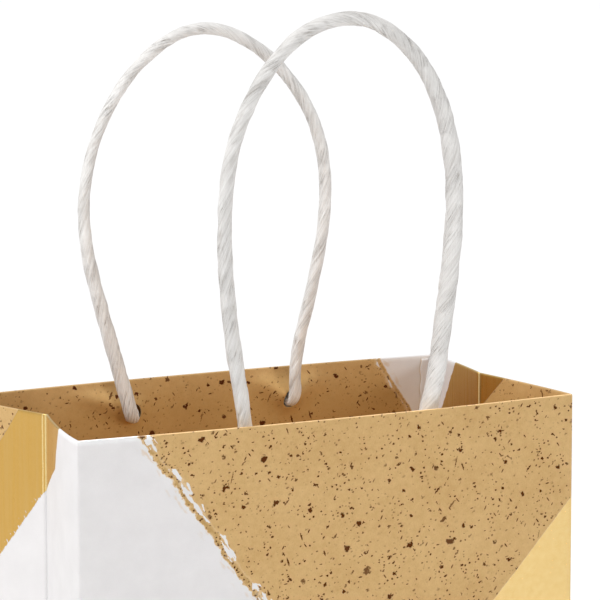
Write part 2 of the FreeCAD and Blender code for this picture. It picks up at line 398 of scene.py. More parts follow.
class Print:
    """The areas and colours of the print, laid out on the flat sheet. Lengths are millimetres."""

    def __init__(self, g):
        self.g = g
        uv = g.node("ShaderNodeUVMap", uv_map="flat")
        sheet = g.split(uv.outputs[0])
        self.u = g.mul(sheet[0], 1 / MM)
        self.v = g.mul(sheet[1], 1 / MM)
        self.place = g.vector(self.u, self.v)
        self.repeat = g.math("FLOORED_MODULO", self.u, PATTERN_REPEAT)
        self.below = g.sub(RIM_V, self.v)
        self.above = g.biggest(g.mul(self.below, -1.0), 0.0)
        self.outside = g.biggest(self.below, 0.0)
        self.wide = g.sub(g.noise(self.place, 0.075, 1), 0.5)
        self.middle = g.sub(g.noise(self.place, 0.42, 2), 0.5)
        self.small = g.sub(g.noise(self.place, 1.7, 2), 0.5)
        self.find_white_edge()
        self.find_chips()
        self.find_gold()
        self.find_areas()

    def straight(self, depth, place, slope):
        return self.g.add(self.g.mul(self.g.sub(self.outside, depth), slope), place)

    def find_white_edge(self):
        """The edge of the white area, a brushed line across the upper left: distance into the kraft."""
        g = self.g
        start = g.ramp(self.above, 0.0, 0.6, WHITE_END, WHITE_END_ON_HEM)
        line = g.add(g.mul(self.outside, WHITE_SLOPE), start)
        line = g.sub(line, g.mul(self.above, WHITE_SLOPE_ON_HEM))
        self.into_kraft = g.mul(g.sub(self.repeat, line), WHITE_ACROSS)
        torn = g.add(g.add(g.mul(self.wide, 4.0), g.mul(self.middle, 2.4)), g.mul(self.small, 1.1))
        self.torn = g.mul(torn, g.ramp(self.above, 0.0, 1.0, 1.0, 0.4))
        self.edge = g.add(self.into_kraft, self.torn)
        self.kraft_side = g.ramp(self.edge, -0.14, 0.14)
        self.along = g.add(g.mul(self.below, 0.82), g.mul(self.repeat, 0.55))

    def find_chips(self):
        """White left bare by the brush just inside the kraft, in a broken line of chips and smears."""
        g = self.g
        drift = g.sub(g.noise(g.vector(self.along, 7.0), 0.09, 1), 0.5)
        chain = g.add(g.ramp(self.above, 0.0, 1.0, 2.5, 1.3), g.mul(drift, 2.6))
        reach = g.ramp(g.noise(g.vector(self.along, 31.0), 0.10, 1), 0.42, 0.56)
        uneven = g.noise(g.vector(g.mul(self.along, 0.36), g.mul(self.into_kraft, 1.2)), 0.62, 2, 0.5)
        lumps = g.ramp(uneven, 0.40, 0.54, -0.8, g.ramp(self.above, 0.0, 1.0, 1.7, 0.6))
        half_width = g.sub(g.mul(reach, g.add(lumps, g.mul(self.small, 0.6))), 0.06)
        smooth_edge = g.add(self.into_kraft, g.add(g.mul(self.wide, 4.0), g.mul(self.middle, 1.6)))
        from_chain = g.apart(smooth_edge, chain)
        chips = g.ramp(g.sub(half_width, from_chain), -0.06, 0.08)
        self.chips = g.mul(chips, g.ramp(self.edge, 0.2, 0.5))
        smear_width = g.mul(reach, g.ramp(self.middle, -0.12, 0.12, 0.3, 1.4))
        smear = g.mul(g.ramp(g.sub(smear_width, from_chain), -0.6, 0.5), 0.55)
        fringe = g.mul(g.ramp(self.edge, 0.1, 0.6, 1.0, 0.0), g.ramp(self.edge, -0.6, -0.2), 0.45)
        self.pale = g.biggest(smear, fringe)

    def find_gold(self):
        """The straight edge where the gold starts, and the torn edge where it ends."""
        g = self.g
        bulge = g.mul(self.outside, g.sub(GOLD_BULGE_DEPTH, self.outside))
        bulge = g.mul(g.biggest(bulge, 0.0), 0.0062)
        line = g.add(self.straight(*GOLD_START), g.add(bulge, self.above))
        into_gold = g.mul(g.sub(self.repeat, line), GOLD_ACROSS)
        wavy = g.add(g.mul(self.small, 0.3), g.mul(self.middle, 0.35))
        self.gold_side = g.ramp(g.add(into_gold, wavy), -0.1, 0.1)
        upper, steep, lower = [self.straight(*part) for part in GOLD_END]
        end = g.biggest(g.math("MINIMUM", upper, steep), lower)
        end = g.add(end, g.mul(self.above, GOLD_END_SLOPE_ON_HEM))
        past_gold = g.mul(g.sub(self.repeat, end), GOLD_END_ACROSS)
        nick = g.vector(g.mul(g.add(self.u, self.v), 0.9), g.mul(g.sub(self.u, self.v), 0.28))
        nicks = g.mul(g.ramp(g.noise(nick, 1.0, 2), 0.60, 0.70), 2.2, g.ramp(self.outside, 20.0, 30.0))
        torn = g.add(g.mul(self.wide, 1.4), g.mul(self.middle, 0.9))
        torn = g.add(torn, g.add(g.mul(self.small, 0.8), nicks))
        self.white_again = g.ramp(g.add(past_gold, torn), -0.12, 0.12)

    def find_areas(self):
        """Where the print is kraft and where it is gold: the rest is white. A second kraft area is at the
        foot of the bag, under a shallow torn line."""
        g = self.g
        slant = g.apart(self.repeat, PATTERN_REPEAT / 2)
        foot_line = g.add(g.mul(slant, FOOT_SLOPE), FOOT_HEIGHT)
        foot = g.ramp(g.add(g.sub(foot_line, self.v), self.torn), -0.12, 0.12)
        upper_kraft = g.mul(self.kraft_side, g.sub(1.0, self.gold_side), g.sub(1.0, self.chips))
        self.is_kraft = g.biggest(upper_kraft, foot)
        band = g.mul(self.gold_side, self.kraft_side, g.sub(1.0, self.white_again))
        self.is_gold = g.mul(band, g.sub(1.0, foot))
        self.on_gusset = g.ramp(self.repeat, GUSSET_FROM - 1, GUSSET_FROM + 1)

    def kraft(self):
        """The kraft's colour and its specks. Beside the white area it is darker and has more of them. Down
        the turned-in hem it is darkened further with painted shade.
        """
        g = self.g
        band = g.mul(g.ramp(self.edge, 0.0, 0.5), g.ramp(self.edge, 1.6, 3.2, 1.0, 0.0), 0.6)
        gathering = g.mul(g.ramp(self.edge, 0.2, 0.8), g.ramp(self.edge, 1.6, 3.4, 1.0, 0.0))
        # painted shade: the kraft on the turned-in hem goes darker the further it is below the rim
        hem_painted_shade = g.ramp(self.above, 1.0, 14.0, 0.0, 0.55)
        deep = g.biggest(g.mul(band, g.ramp(self.middle, -0.1, 0.1)), hem_painted_shade)
        share = g.ramp(self.above, 0.0, 0.5, 1.0, 0.55)
        colour, specks = kraft_colour(g, self.place, gathering, share, deep)
        return g.mix(self.pale, colour, KRAFT_SMEAR_AND_HIGHLIGHT), specks

    def white(self, tooth):
        """The white ink's colour, with kraft smudges beside its edge."""
        g = self.g
        mottle = g.noise(self.place, 0.09, 4, 0.6)
        blend = g.ramp(g.add(g.mul(mottle, 0.6), g.mul(tooth, 0.4)), 0.35, 0.65)
        smudge = g.ramp(g.noise(g.vector(self.along, g.mul(self.into_kraft, 2.5)), 0.16, 2), 0.56, 0.66)
        smudge = g.mul(smudge, g.ramp(self.edge, -3.5, -1.2), g.ramp(self.edge, -0.6, -0.2, 1.0, 0.0), 0.40)
        return g.mix(smudge, g.mix(blend, WHITE_INK, WHITE_LIGHT), KRAFT_LIGHT)

    def gold(self, drawn, sparkle):
        """The foil's colour and its grain, which is drawn out downwards on the gussets, where the colour is
        also darkened with painted shade.
        """
        g = self.g
        streaks = g.mul(g.sub(drawn, 0.5), self.on_gusset, 0.45)
        grain = g.add(streaks, g.add(g.mul(sparkle, 0.75), g.mul(self.middle, 0.12)))
        grain = g.add(grain, 0.125)
        colour = g.mix(g.ramp(grain, 0.42, 0.58), GOLD, GOLD_LIGHT)
        # painted shade: the same foil is made darker on the gussets
        return g.mix(g.mul(self.on_gusset, 0.75), colour, GOLD_PAINTED_SHADE), grain

    def painted_highlight(self):
        """Painted highlight: how far the gusset creases and the rim's fold are painted lighter, with a
        broader light band on the white beside the fold.
        """
        g = self.g
        from_crease = g.apart(self.repeat, GUSSET_FROM + GUSSET_WIDTH / MM / 2)
        # painted highlight along each gusset crease, and a second line beside it on the gold outside
        line = g.ramp(g.add(from_crease, g.mul(self.small, 0.5)), 0.25, 0.8, 1.0, 0.0)
        from_second = g.apart(from_crease, g.add(1.7, g.mul(self.middle, 0.5)))
        second = g.mul(g.ramp(from_second, 0.1, 0.5, 0.7, 0.0), self.is_gold,
                       g.ramp(self.above, 0.0, 0.5, 1.0, 0.0))
        crease_highlight = g.mul(g.biggest(line, second), g.add(0.45, g.mul(self.is_gold, 0.35)))
        # painted highlight along the rim's fold, with a broader band on the white
        from_fold = g.apart(self.v, FOLD_MIDDLE / MM)
        rim_fold_highlight = g.ramp(g.add(from_fold, g.mul(self.small, 0.5)), 0.25, 0.7, 1.0, 0.0)
        broad = g.ramp(g.add(from_fold, g.mul(self.middle, 0.8)), 1.2, 2.2, 1.0, 0.0)
        broad = g.mul(broad, g.sub(1.0, self.is_kraft), 0.6)
        rim_highlight = g.biggest(g.mul(rim_fold_highlight, 0.25), g.mul(broad, g.sub(1.0, self.is_gold)))
        return g.biggest(crease_highlight, rim_highlight)


def printed_material():
    """White, speckled kraft and gold foil areas with brushed edges."""
    material, g = new_material("printed_paper")
    areas = Print(g)
    painted_highlight = areas.painted_highlight()
    tooth = g.noise(areas.place, 3.2, 3, 0.6)
    drawn = g.noise(g.vector(areas.u, g.mul(areas.v, 0.03)), 0.42, 3, 0.6)
    sparkle = g.noise(areas.place, 5.5, 3, 0.75)
    kraft, specks = areas.kraft()
    gold, grain = areas.gold(drawn, sparkle)
    colour = g.mix(areas.is_gold, g.mix(areas.is_kraft, areas.white(tooth), kraft), gold)
    # the colours of the painted highlights; the kraft one also colours the print's pale smears
    pale = g.mix(areas.is_gold, g.mix(areas.is_kraft, WHITE_HIGHLIGHT, KRAFT_SMEAR_AND_HIGHLIGHT), GOLD_HIGHLIGHT)
    colour = g.mix(painted_highlight, colour, pale)

    rough = g.node("ShaderNodeMix", data_type="FLOAT")
    g.put(areas.is_gold, rough.inputs[0])
    g.put(g.ramp(tooth, 0.3, 0.7, 0.50, 0.60), rough.inputs[2])
    g.put(g.ramp(grain, 0.35, 0.65, 0.26, 0.38), rough.inputs[3])
    pressed = g.add(g.mul(g.noise(areas.place, 0.9, 3), 0.5), g.mul(specks, -0.15))
    normal = g.bump(g.add(g.mul(tooth, 0.5), pressed), 0.05 * MM, 0.5)
    normal = g.bump(g.mul(sparkle, areas.is_gold), 0.05 * MM, 0.6, normal)
    normal = g.bump(g.mul(drawn, areas.is_gold, areas.on_gusset), 0.5 * MM, 0.5, normal)
    # the gold is made less metallic where a highlight is painted on it
    metallic = g.mul(areas.is_gold, g.sub(0.88, g.mul(painted_highlight, 0.7)))
    g.surface(colour, rough.outputs[0], 0.1, normal, metallic)
    return material


def fibre_material(name, colour, dark, rough, depth, scale=1.0):
    """Bare paper or board: a cloudy colour with short fibres, in object space."""
    material, g = new_material(name)
    place = g.node("ShaderNodeTexCoord").outputs["Object"]
    cloud = g.noise(place, 60 * scale, 3)
    fibre = g.noise(place, 900 * scale, 5, 0.7)
    mapping = g.node("ShaderNodeMapping")
    g.put(place, mapping.inputs["Vector"])
    mapping.inputs["Scale"].default_value = (1, 1, 0.2)
    strands = g.noise(mapping.outputs[0], 1500 * scale, 4, 0.6)
    blend = g.ramp(g.add(g.mul(cloud, 0.5), g.add(g.mul(fibre, 0.3), g.mul(strands, 0.2))), 0.35, 0.65)
    bump = g.bump(g.add(g.mul(fibre, 0.6), g.mul(strands, 0.4)), depth)
    g.surface(g.mix(blend, dark, colour), g.ramp(fibre, 0.3, 0.7, rough - 0.06, rough + 0.06), 0.25, bump)
    return material


def cord_material():
    """Twisted white paper: fine pleats that wind round the cord, with painted shade down in the folds and
    along the creases.
    The unwound attribute is a place on the untwisted cord, in millimetres."""
    material, g = new_material("twisted_paper")
    place = g.node("ShaderNodeAttribute", attribute_name="unwound").outputs["Vector"]
    fold = g.node("ShaderNodeAttribute", attribute_name="fold").outputs["Fac"]
    x, y, z = g.split(place)
    pleats = g.noise(g.vector(x, y, g.mul(z, 0.03)), 2.6, 3, 0.6)
    fibres = g.noise(g.vector(x, y, g.mul(z, 0.12)), 5.0, 3, 0.7)
    cloud = g.noise(place, 0.10, 2)
    lines = g.noise(g.vector(x, y, g.mul(z, 0.03)), 1.5, 1)
    from_line = g.apart(lines, 0.5)
    patch = g.ramp(g.noise(g.vector(x, y, z), 0.16, 1), 0.46, 0.58)
    creases = g.mul(g.ramp(from_line, 0.002, 0.02, 1.0, 0.0), patch)
    tone = g.add(g.mul(pleats, 0.5), g.add(g.mul(fibres, 0.25), g.mul(cloud, 0.25)))
    colour = g.mix(g.ramp(tone, 0.36, 0.62), (0.69, 0.672, 0.65, 1), (0.91, 0.898, 0.88, 1))
    # painted shade: the colour is darkened in the pleats' folds (the fold attribute) and along the crease
    # lines
    dark = g.biggest(g.mul(fold, 0.38), g.mul(creases, 0.85))
    colour = g.mix(g.math("MINIMUM", dark, 1.0), colour, (0.46, 0.41, 0.365, 1))
    relief = g.sub(g.add(g.mul(pleats, 0.75), g.mul(fibres, 0.25)), g.mul(creases, 0.35))
    g.surface(colour, g.ramp(fibres, 0.3, 0.7, 0.58, 0.72), 0.3, g.bump(relief, 0.6 * MM, 0.9))
    return material


PRINTED = printed_material()
INSIDE = fibre_material("uncoated_kraft", (0.62, 0.36, 0.135, 1), (0.52, 0.285, 0.095, 1), 0.78, 0.04 * MM)
EDGE = fibre_material("cut_paper_edge", (0.70, 0.53, 0.33, 1), (0.55, 0.38, 0.20, 1), 0.8, 0.03 * MM)
BOARD = fibre_material("grey_board", (0.56, 0.53, 0.47, 1), (0.44, 0.41, 0.355, 1), 0.85, 0.08 * MM, 0.8)
TWIST = cord_material()


# ---- handles: twisted paper cords along NURBS splines ----

CORD_SIDES = 96
PLEAT_TURN = 32 * MM         # the pleats wind once round the cord in this length
END_INSET = 1.4 * MM         # a cord's end lies this far inside the wall's outer face
END_RISE = 0.6 * MM          # and this far above its hole's centre
# Width in the plane of the loop and thickness across it, in millimetres, by share of the length.
FRONT_WIDTH = [(0, 6.0), (0.12, 7.5), (0.25, 6.3), (0.5, 4.7), (0.67, 6.0), (0.9, 6.4), (1, 6.0)]
BACK_WIDTH = [(0, 5.4), (0.15, 5.2), (0.3, 3.8), (0.55, 3.8), (0.75, 4.8), (0.9, 6.8), (1, 5.8)]
THICKNESS = [(0, 4.2), (0.1, 4.1), (0.5, 4.7), (0.9, 4.2), (1, 4.2)]


def route_line(name, route, side):
    """The points of the smooth line that a handle's cord follows."""
    end_y = side * (HALF_DEPTH + RIM_BOW - END_INSET)
    ends = [(x, end_y, RIM - HOLE_DROP + END_RISE) for x in HOLE_X]
    bends = [(x + lean, side * HANDLE_Y, RIM - HOLE_DROP - sag)
             for x, lean, sag in zip(HOLE_X, ROOT_LEAN, BEND_SAG)]
    loop = [(x * MM, side * HANDLE_Y, RIM + rise * MM) for x, rise in route]
    points = [ends[0], bends[0]] + loop + [bends[1], ends[1]]
    curve = bpy.data.curves.new(name, "CURVE")
    curve.dimensions = "3D"
    spline = curve.splines.new("NURBS")
    spline.points.add(len(points) - 1)
    for made, place in zip(spline.points, points):
        made.co = (*place, 1)
    spline.order_u = 3
    spline.use_endpoint_u = True
    spline.resolution_u = 26
    holder = bpy.data.objects.new(name, curve)
    mesh = bpy.data.meshes.new_from_object(holder)
    line = np.array([v.co for v in mesh.vertices])
    bpy.data.objects.remove(holder)
    bpy.data.curves.remove(curve)
    bpy.data.meshes.remove(mesh)
    return line


def across_line(line):
    """Two directions across a line at each of its points, carried along it without twisting."""
    ahead = np.gradient(line, axis=0)
    ahead /= np.linalg.norm(ahead, axis=1)[:, None]
    sideways = np.empty_like(ahead)
    current = np.array([1.0, 0, 0])
    for i, direction in enumerate(ahead):
        current = current - direction * (current @ direction)
        current /= np.linalg.norm(current)
        sideways[i] = current
    return sideways, np.cross(ahead, sideways)


def set_attribute(mesh, name, kind, values):
    attribute = mesh.attributes.new(name, kind, "POINT")
    field = "vector" if kind == "FLOAT_VECTOR" else "value"
    attribute.data.foreach_set(field, values.astype(np.float32).ravel())


def pleat_noise(angle, along, fineness, drift, seed):
    """Noise that is smooth round the cord and drawn out along its pleats."""
    values = np.empty(angle.size)
    for i, (a, s) in enumerate(zip(angle.ravel(), along.ravel())):
        place = Vector((math.cos(a) * fineness, math.sin(a) * fineness, s * drift + seed))
        values[i] = noise.noise(place)
    return values.reshape(angle.shape)


def handle_cord(side, route, widths, seed):
    name = WALL_NAME[side] + "_handle"
    line = route_line(name, route, side)
    sideways, outwards = across_line(line)
    run = np.concatenate([[0], np.cumsum(np.linalg.norm(np.diff(line, axis=0), axis=1))])
    turn = np.linspace(0, 2 * math.pi, CORD_SIDES, endpoint=False)
    theta, along = np.meshgrid(turn, run)
    wound = theta - 2 * math.pi * along / PLEAT_TURN
    wide = pleat_noise(wound, along, 0.9, 26, seed)
    fine = pleat_noise(wound, along, 3.3, 34, seed + 40)
    finest = pleat_noise(wound, along, 7.0, 45, seed + 90)
    level = np.zeros_like(wound)
    opened = np.clip(pleat_noise(level, along, 0.0, 70, seed + 7) * 5 + 0.45, 0, 1)
    deep = np.exp(-(wide / 0.035) ** 2) * opened
    shallow = np.exp(-(fine / 0.07) ** 2)
    swell = pleat_noise(level, along, 0.0, 120, seed + 3)
    surface = (1 + 0.030 * np.tanh(wide * 8) + 0.018 * np.cos(2 * wound) + 0.07 * swell - 0.10 * deep
               - 0.045 * shallow + 0.035 * fine - 0.022 * np.exp(-(finest / 0.12) ** 2))
    share = along / run[-1]
    half_width = np.interp(share, *zip(*widths)) * MM / 2
    half_thick = np.interp(share, *zip(*THICKNESS)) * MM / 2
    surface[[0, -1]] *= 0.02     # the ends are drawn almost to a point
    points = (line[:, None] + sideways[:, None] * (half_width * np.cos(theta) * surface)[..., None]
              + outwards[:, None] * (half_thick * np.sin(theta) * surface)[..., None])
    flat = np.stack([theta * CORD / 2, along], axis=-1)
    mesh = grid_mesh(name, points, flat, closed=True)
    radius = CORD / 2 / MM
    unwound = np.stack([radius * np.cos(wound), radius * np.sin(wound), along / MM + 700 * seed], axis=-1)
    set_attribute(mesh, "unwound", "FLOAT_VECTOR", unwound)
    # fold marks where the cord's colour gets painted shade, down in its pleats
    set_attribute(mesh, "fold", "FLOAT", np.clip(deep + 0.45 * shallow, 0, 1))
    mesh.materials.append(TWIST)
    piece = link(name, mesh)
    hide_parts(name + "_loop", name + "_roots")
    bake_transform(piece)


handle_cord(FRONT, FRONT_ROUTE, FRONT_WIDTH, 1)
handle_cord(BACK, BACK_ROUTE, BACK_WIDTH, 2)


# ---- the shape of the bag ----

def spread(z):
    """How far the bag is out of square at a height: 0 low down, 1 towards the rim."""
    t = np.clip((z - SQUARE_BELOW) / (CREASED_ABOVE - SQUARE_BELOW), 0, 1)
    return t * t * (3 - 2 * t)


def ripple(a, z, seed):
    """The slight waviness of a large sheet of paper, in metres: a few broad swells."""
    broad = np.sin(a * 38 + 1.3 * seed) * np.sin(z * 31 + 0.7 * seed)
    fine = np.sin(a * 83 + z * 47 + 2.1 * seed) * np.sin(z * 71 - a * 29 + seed)
    return 0.22 * MM * broad + 0.10 * MM * fine


def corner_shift(distance, inset, length):
    """Along-face and inward distances from a rounded corner, for a point at a distance along its face.
    Beyond the corner's radius the sheet is straight."""
    radius = np.maximum(CORNER_RADIUS - inset, 0)
    centre = np.maximum(CORNER_RADIUS, inset)
    angle = np.radians(45) * np.clip(1 - distance / CORNER_RADIUS, 0, 1)
    middle = length / 2
    straight = centre + (distance - CORNER_RADIUS) * (middle - centre) / (middle - CORNER_RADIUS)
    round_along = centre - radius * np.sin(angle)
    round_in = centre - radius * np.cos(angle)
    is_round = distance < CORNER_RADIUS
    along = np.where(is_round, round_along, np.where(distance < middle, straight, distance))
    return along, np.where(is_round, np.maximum(round_in, inset), inset)


def calm(z):
    """How much of the paper's waviness there is at a height: less at the rim's fold, and none at the foot."""
    return np.clip((RIM - z) / (8 * MM), 0.15, 1) * np.clip(z / (20 * MM), 0, 1)


def wall_points(side, across, z, inset):
    """Points on the front or back wall. across runs from 0 at the left corner to the full width."""
    width = 2 * HALF_WIDTH
    from_end = np.minimum(across, width - across)
    along, inward = corner_shift(from_end, inset, width)
    x = np.where(across < width / 2, along, width - along) - HALF_WIDTH
    bow = RIM_BOW * spread(z) * (1 - (x / HALF_WIDTH) ** 2)
    fade = np.clip(from_end / (12 * MM), 0, 1) * calm(z)
    y = side * (HALF_DEPTH + bow - inward + ripple(x, z, 2 + side) * fade)
    return np.stack([x, y, z], axis=-1)


def gusset_points(side, half, along, z, inset):
    """Points on one half of a gusset. along runs from 0 at the corner to 1 at the crease."""
    drawn_in = (HALF_WIDTH - abs(CREASE_X[side])) * spread(z)
    crease_y = CREASE_Y[side] * spread(z)
    length = HALF_DEPTH - half * crease_y
    distance, inward = corner_shift(along * length, inset, 2 * length)
    t = np.clip(distance / length, 0, 1)
    slope = drawn_in * CREASE_CURVE * t ** (CREASE_CURVE - 1) / length
    depth = drawn_in * t ** CREASE_CURVE + inward * np.sqrt(1 + slope ** 2)
    fade = np.clip(t * (1 - t) * 4, 0, 1) * calm(z)
    x = side * (HALF_WIDTH - depth + 0.8 * ripple(distance, z, 5 + side + half) * fade)
    y = half * (HALF_DEPTH - distance)
    return np.stack([x, y, z], axis=-1)


def folded(v):
    """The height and the inset of a point at v along the sheet: in at the foot, up the outside, over the
    rim and down the inside."""
    foot = np.clip((FOOT_RADIUS - v) / FOOT_RADIUS, 0, math.pi / 2)
    lip = np.maximum(FOOT_RADIUS - FOOT_RADIUS * math.pi / 2 - v, 0)
    angle = np.clip((v - FOLD_START) / FOLD_RADIUS, 0, math.pi)
    upright = np.clip(v, FOOT_RADIUS, FOLD_START)
    z = upright + FOLD_RADIUS * np.sin(angle) - np.maximum(v - FOLD_END, 0) - FOOT_RADIUS * np.sin(foot)
    inset = FOLD_RADIUS - FOLD_RADIUS * np.cos(angle) + FOOT_RADIUS - FOOT_RADIUS * np.cos(foot) + lip
    return z, inset


def hem_v(drop):
    """Where a point of the hem that is this far below the rim lies along the sheet."""
    return FOLD_END + drop - FOLD_RADIUS


def steps(start, end, spacing):
    """Evenly spaced places, no further apart than spacing, apart from rounding."""
    count = math.ceil(abs(end - start) / spacing - 1e-4)
    return np.linspace(start, end, max(2, count + 1))


def outer_rows():
    """Places up the outside of the bag, closer together at the foot's fold and the rim's."""
    near_rim = FOLD_START - 6 * MM
    return np.concatenate([steps(-LIP, FOOT_RADIUS, FOLD_SPACING), steps(FOOT_RADIUS, near_rim, 3 * MM)[1:],
                           steps(near_rim, FOLD_START, 1 * MM)[1:],
                           steps(FOLD_START, FOLD_MIDDLE, FOLD_SPACING)[1:]])


def hole_rows():
    """Depths below the rim, a millimetre apart in step with the holes."""
    return steps(HOLE_DROP - 10 * MM, HEM_DEPTH - 0.5 * MM, 1 * MM)


def hem_rows():
    """Places down the inside, a millimetre apart in step with the holes."""
    return np.concatenate([steps(FOLD_MIDDLE, FOLD_END, FOLD_SPACING), hem_v(hole_rows())])


def corner_steps(length, spacing):
    """Places along a face that starts at a rounded corner."""
    rounded = steps(0, CORNER_RADIUS, CORNER_RADIUS / 3)
    return np.concatenate([rounded, steps(CORNER_RADIUS, length, spacing)[1:]])


def wall_flat(side, across):
    return FRONT_START + across if side == FRONT else BACK_START + 2 * HALF_WIDTH - across


def gusset_flat(side, half, along):
    """u on the flat sheet for a place from 0 at the corner to 1 at the crease."""
    reach = along * GUSSET_WIDTH / 2
    if side == RIGHT:
        return RIGHT_START + (reach if half == FRONT else GUSSET_WIDTH - reach)
    return LEFT_START + (GUSSET_WIDTH - reach if half == FRONT else reach)


# ---- paper pieces ----

def paper_piece(name, mesh, *nodes):
    """A sheet with a printed face, an uncoated back and cut edges. nodes are the CAD nodes it replaces."""
    for material in (PRINTED, INSIDE, EDGE):
        mesh.materials.append(material)
    drop_loose(mesh)
    piece = link(name, mesh)
    solid = piece.modifiers.new("thickness", "SOLIDIFY")
    solid.thickness = PAPER
    solid.offset = -1
    solid.use_even_offset = True
    solid.material_offset = 1
    solid.material_offset_rim = 2
    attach(piece, "bag")
    if nodes:
        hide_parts(*nodes)


def wall_sheet(name, node, side, a, v, skip=None, shape=wall_points):
    """The front or back wall's paper, or its hem, from places across it and along the sheet."""
    z, inset = folded(v)
    points = shape(side, a, z, inset)
    flat = np.stack([wall_flat(side, a), v], axis=-1)
    if side == BACK:
        points, flat = points[:, ::-1], flat[:, ::-1]
        skip = None if skip is None else skip[:, ::-1]
    paper_piece(name, grid_mesh(name, points, flat, skip), node)


def gusset_sheet(name, node, side, half, along, rows):
    """The paper of one half of a gusset, or its hem. along runs from 0 at the corner to 1 at the crease."""
    a, v = np.meshgrid(along, rows)
    z, inset = folded(v)
    points = gusset_points(side, half, a, z, inset)
    flat = np.stack([gusset_flat(side, half, a), v], axis=-1)
    if side * half > 0:
        points, flat = points[:, ::-1], flat[:, ::-1]
    paper_piece(name, grid_mesh(name, points, flat), node)


def wall_panel(side):
    left_half = corner_steps(HALF_WIDTH, 3 * MM)
    a, v = np.meshgrid(np.concatenate([left_half, 2 * HALF_WIDTH - left_half[-2::-1]]), outer_rows())
    wall_sheet(WALL_NAME[side] + "_wall", WALL_NAME[side] + "_panel", side, a, v)


def gusset_panel(side, half):
    length = HALF_DEPTH - half * CREASE_Y[side]
    node = "%s_gusset_%s" % (SIDE_NAME[side], HALF_NAME[half])
    gusset_sheet(node + "_half", node, side, half, corner_steps(length, 2 * MM) / length, outer_rows())


for wall in (FRONT, BACK):
    wall_panel(wall)
for gusset_side in (LEFT, RIGHT):
    for gusset_half in (FRONT, BACK):
        gusset_panel(gusset_side, gusset_half)


# ---- hems, cards and glued cord ends ----

HOLE_BLOCK = 4 * MM          # each way from a hole's centre, the part of the grid that opens into it
HOLE_REACH = 10 * MM         # and how far out the grid is drawn to fit round it
FINE_REACH = 12 * MM         # each way from a hole, the part of the hem with the finer mesh
CORD_END = (7.0 * MM, 2.5 * MM, 21 * MM)       # a flattened end's pocket: width, and reach up and down
CORD_END_THICKNESS = 0.6 * MM
END_SIDE_GAP = 1.3 * MM      # between the flattened end and its pocket, to the sides and endways
END_TIP_GAP = 0.3 * MM
POCKET_RISE = 0.75 * MM      # how far the hem stands in over a flattened end
PULL_RISE = 1.0 * MM         # how far the paper is drawn in round a hole, and how widely
PULL_SPREAD = 8 * MM
PULL_FOLD_RISE = 3.6 * MM    # how far a fold stands in, and how wide it is
PULL_FOLD_SPREAD = 4.0 * MM
RIM_HOLDS = 7 * MM           # nearer to the rim than this, the paper stands in less
# Folds that run from a hole to a place this far to its side and above it, in millimetres.
PULL_FOLDS = {BACK: [(0, -22, 10), (1, -12, 9), (1, 11, 6)], FRONT: [(0, -13, 10), (1, 12, 9), (0, 10, 11)]}


def soft_range(value, low, high, soft):
    """1 between low and high, and falling smoothly to 0 over the length soft outside them."""
    t = np.clip(np.minimum(value - low, high - value) / soft + 1, 0, 1)
    return t * t * (3 - 2 * t)


def pocket(side, x, z):
    """How far the card and the hem stand inwards: over the glued cord ends, round each hole and in folds."""
    total = np.zeros_like(x)
    width, above, below = CORD_END
    for hole in HOLE_X:
        dx = x - hole
        dz = z - (RIM - HOLE_DROP)
        strip = soft_range(dx, -width / 2, width / 2, 3 * MM) * soft_range(dz, -below, above, 3 * MM)
        pull = np.exp(-(dx ** 2 + dz ** 2) / (2 * PULL_SPREAD ** 2))
        total += POCKET_RISE * strip + PULL_RISE * pull
    for hole, over, up in PULL_FOLDS[side]:
        end = np.array([over * MM, up * MM])
        dx = x - HOLE_X[hole]
        dz = z - (RIM - HOLE_DROP)
        share = np.clip((dx * end[0] + dz * end[1]) / (end @ end), 0, 1)
        away = np.hypot(dx - share * end[0], dz - share * end[1])
        rise = np.minimum(1, 0.45 + 2.2 * share) * (1 - 0.7 * share)
        total += PULL_FOLD_RISE * np.exp(-(away / PULL_FOLD_SPREAD) ** 2) * rise
    rim = np.clip((RIM - z) / RIM_HOLDS, 0, 1)
    return total * rim * rim * (3 - 2 * rim)


def open_holes(across, v, hole_v, radius):
    """Draws a grid's points round each hole, so that the square left out of it becomes a round hole."""
    skip = np.zeros((across.shape[0] - 1, across.shape[1] - 1), bool)
    middle_a = (across[:-1, :-1] + across[1:, 1:]) / 2
    middle_v = (v[:-1, :-1] + v[1:, 1:]) / 2
    for hole in HOLE_X:
        centre = hole + HALF_WIDTH
        skip |= (abs(middle_a - centre) < HOLE_BLOCK) & (abs(middle_v - hole_v) < HOLE_BLOCK)
    for hole in HOLE_X:
        da = across - (hole + HALF_WIDTH)
        dv = v - hole_v
        reach = np.maximum(abs(da), abs(dv))
        far = np.maximum(np.hypot(da, dv), 1e-9)
        share = np.clip((reach - HOLE_BLOCK) / (HOLE_REACH - HOLE_BLOCK), 0, 1)
        ragged = radius * (1 + 0.035 * np.sin(3 * np.arctan2(dv, da) + 40 * hole))
        scale = np.where(reach < HOLE_REACH, (ragged + share * (far - ragged)) / far, 1)
        scale = np.where(reach < HOLE_BLOCK * 0.99, 1, scale)
        across = across + da * (scale - 1)
        v = v + dv * (scale - 1)
    return across, v, skip


def hem_columns():
    """Places across a front or back hem, a millimetre apart in step with the holes beside them."""
    marks = [CORNER_RADIUS]
    for hole in HOLE_X:
        marks += [hole + HALF_WIDTH - FINE_REACH, hole + HALF_WIDTH + FINE_REACH]
    marks += [2 * HALF_WIDTH - CORNER_RADIUS]
    places = [marks[:1]]
    for i, (start, end) in enumerate(zip(marks, marks[1:])):
        beside_hole = i % 2 == 1
        places.append(steps(start, end, (1 if beside_hole else 2) * MM)[1:])
    return np.concatenate(places)


